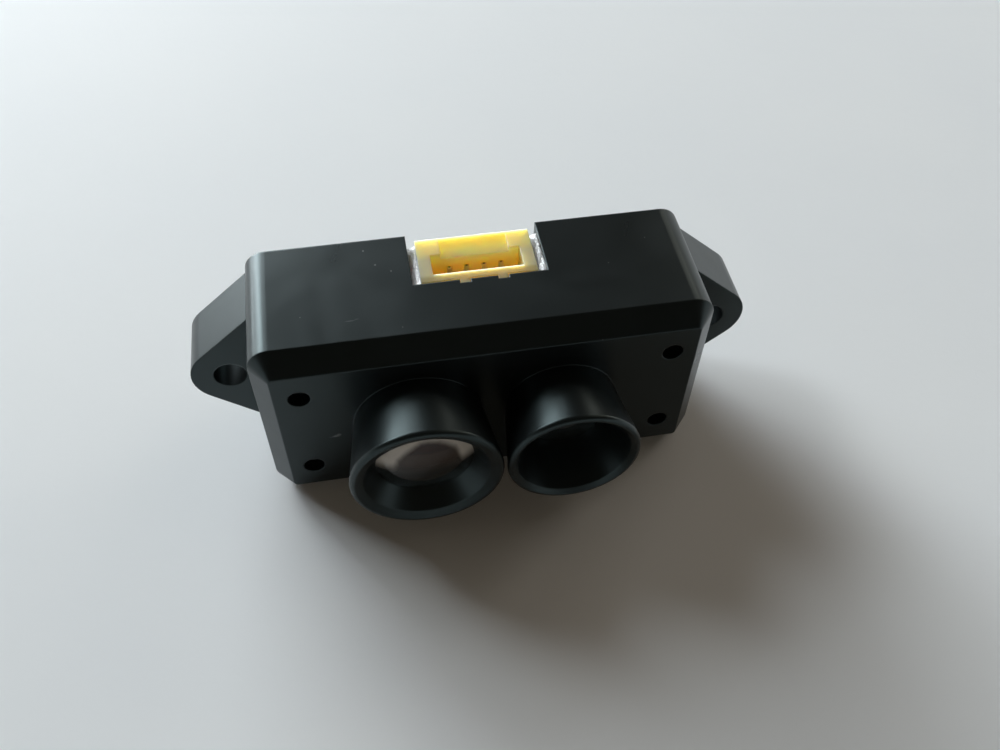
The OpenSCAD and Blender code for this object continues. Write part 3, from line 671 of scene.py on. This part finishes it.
def glue_drop(mesh, centre, radius):
    """Flat round drop, in mm, that clings to the notch's right wall."""
    x, y, z = centre
    tip = mesh.verts.new(((x - DROP_HEIGHT) * MM, y * MM, z * MM))
    back = mesh.verts.new((x * MM, y * MM, z * MM))
    last = None
    for ring in range(1, DROP_RINGS + 1):
        out = ring / DROP_RINGS
        row = []
        for turn in range(DROP_TURNS):
            angle = 2 * math.pi * turn / DROP_TURNS
            uneven = 1 + DROP_UNEVEN * noise.noise(Vector((math.cos(angle), math.sin(angle), y)))
            reach = radius * out * uneven
            skin = x - DROP_HEIGHT * (1 - out ** 2)
            along, above = y + reach * math.cos(angle), z + reach * math.sin(angle)
            row.append(mesh.verts.new((skin * MM, along * MM, above * MM)))
        for turn in range(DROP_TURNS):
            after = (turn + 1) % DROP_TURNS
            if last:
                mesh.faces.new([last[turn], last[after], row[after], row[turn]])
            else:
                mesh.faces.new([tip, row[after], row[turn]])
        last = row
    for turn in range(DROP_TURNS):
        mesh.faces.new([back, last[turn], last[(turn + 1) % DROP_TURNS]])


def lay_glue(finish):
    """Two beads between the header's sides and the notch, and the drops that ran up the right wall."""
    low, high = box_mm("connector_glue")
    header_low, header_high = box_mm("header_shell")
    mesh = bmesh.new()
    glue_bead(mesh, low.x, header_low.x, low, high, 3.1)
    glue_bead(mesh, header_high.x, high.x, low, high, 7.7)
    for y, z, radius in DROPS:
        glue_drop(mesh, (high.x, y, z), radius)
    bmesh.ops.recalc_face_normals(mesh, faces=mesh.faces)
    data = bpy.data.meshes.new("glue_beads")
    mesh.to_mesh(data)
    mesh.free()
    data.shade_smooth()
    data.materials.append(finish)
    beads = bpy.data.objects.new("glue_beads", data)
    scene.collection.objects.link(beads)
    bpy.context.view_layer.update()
    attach(beads, "root")
    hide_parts("connector_glue")


# Body and fleck colours, grain in mm and roughness of moulded chip epoxy
CHIP_EPOXY = ("#17181a", "#202225", 0.12, 0.5)


def make_finishes():
    """One finish for each material slot of the frame."""
    return {
        # Satin black moulding of the shell, finely grained, handled
        "black_housing": moulded_black("moulded_black", "#131617", 0.3, (0.14, 0.0015), True),
        # The cover's own moulding, a little duller and coarser than the shell
        "black_cover": moulded_black("moulded_black_cover", "#141517", 0.36, (0.2, 0.003), True),
        # Dull black moulding that swallows stray light
        "baffle_plastic": moulded_black("dull_baffle", "#0a0a0b", 0.6, (0.25, 0.01), False),
        "header_nylon": header_nylon(),
        "clear_glue": cured_glue(),
        # Bright lens with a warm dark middle and a pale rim, all painted: a painted glint on the rim, a
        # painted lighter upper half and a painted dark red spot for the filter behind
        "receiver_lens_acrylic": lens_finish("receiver_lens_acrylic", "receiver_lens", "#e8d6cc", "#544841",
                                             "#3a1c10", "#d6d1c7"),
        # The same acrylic deep in its tube, nearly black, with a painted grey glint on its rim and a painted
        # lighter upper half
        "emitter_lens_acrylic": lens_finish("emitter_lens_acrylic", "emitter_lens", "#c8d0dc", "#25282c",
                                            "#1c1e22", "#3c4044"),
        "filter_glass": filter_glass(),
        "clear_silicone": cast_silicone(),
        "board_laminate": masked_board(),
        # Moulded epoxy with a fine mineral filler, like dull dark stone
        "chip_epoxy": soldered_part("sensor_epoxy", *CHIP_EPOXY),
        # Fired alumina, warm off-white and chalky
        "emitter_ceramic": soldered_part("emitter_alumina", "#cbbfaa", "#d8cfbe", 0.1, 0.5),
        # Sintered iron oxide, dry dark grey with paler grains
        "ferrite": soldered_part("inductor_ferrite", "#26272a", "#3a3b3e", 0.08, 0.65),
        # Ochre epoxy moulded round tantalum, with tinned ends
        "tantalum_case": soldered_part("tantalum_moulding", "#c79a3c", "#d1a84c", 0.15, 0.45,
                                       lambda tree, place: end_caps(tree, place, "supply_capacitors")),
        # Sintered tan ceramic, slightly glossy, with tinned ends
        "capacitor_ceramic": soldered_part("capacitor_ceramic", "#8f6a48", "#a37d58", 0.08, 0.4,
                                           lambda tree, place: end_caps(tree, place, "small_capacitors")),
        # Black glaze over a resistive film, with tinned ends
        "resistor_film": soldered_part("resistor_film", "#151617", "#222325", 0.08, 0.35,
                                       lambda tree, place: end_caps(tree, place, "small_resistors")),
        # Drawn nickel-plated can, soft bright grey
        "crystal_can": plated_metal("nickel_can", "#c4c3bd", 0.3, 0.06, "#a9a8a2", 0.12),
        # Thin gold over bronze, pale and warm, with painted shade at the tips
        "gilt_contact": plated_metal("gilt_contact", "#ffe6ab", 0.42, 0.05, "#f3cf8a", 0.2, 0.75,
                                     contact_tip_shade()),
        # Hot-dipped tin on brass, cool grey and clouded
        "tinned_brass": plated_metal("tinned_brass", "#cfcdc7", 0.34, 0.06, "#aaa8a0", 0.05)}


def dress_nodes(finishes):
    """Gives each node of the frame its finish, and each chip with leads one of its own."""
    for name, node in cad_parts.items():
        finish = finishes[node.data.materials[0].name]
        if name in LEAD_REACH:
            finish = soldered_part(name + "_epoxy", *CHIP_EPOXY,
                                   lambda tree, place: bare_leads(tree, place, name))
        node.material_slots[0].material = finish


set_camera()
set_light()
lay_floor()
finishes = make_finishes()
dress_nodes(finishes)
lay_glue(finishes["clear_glue"])
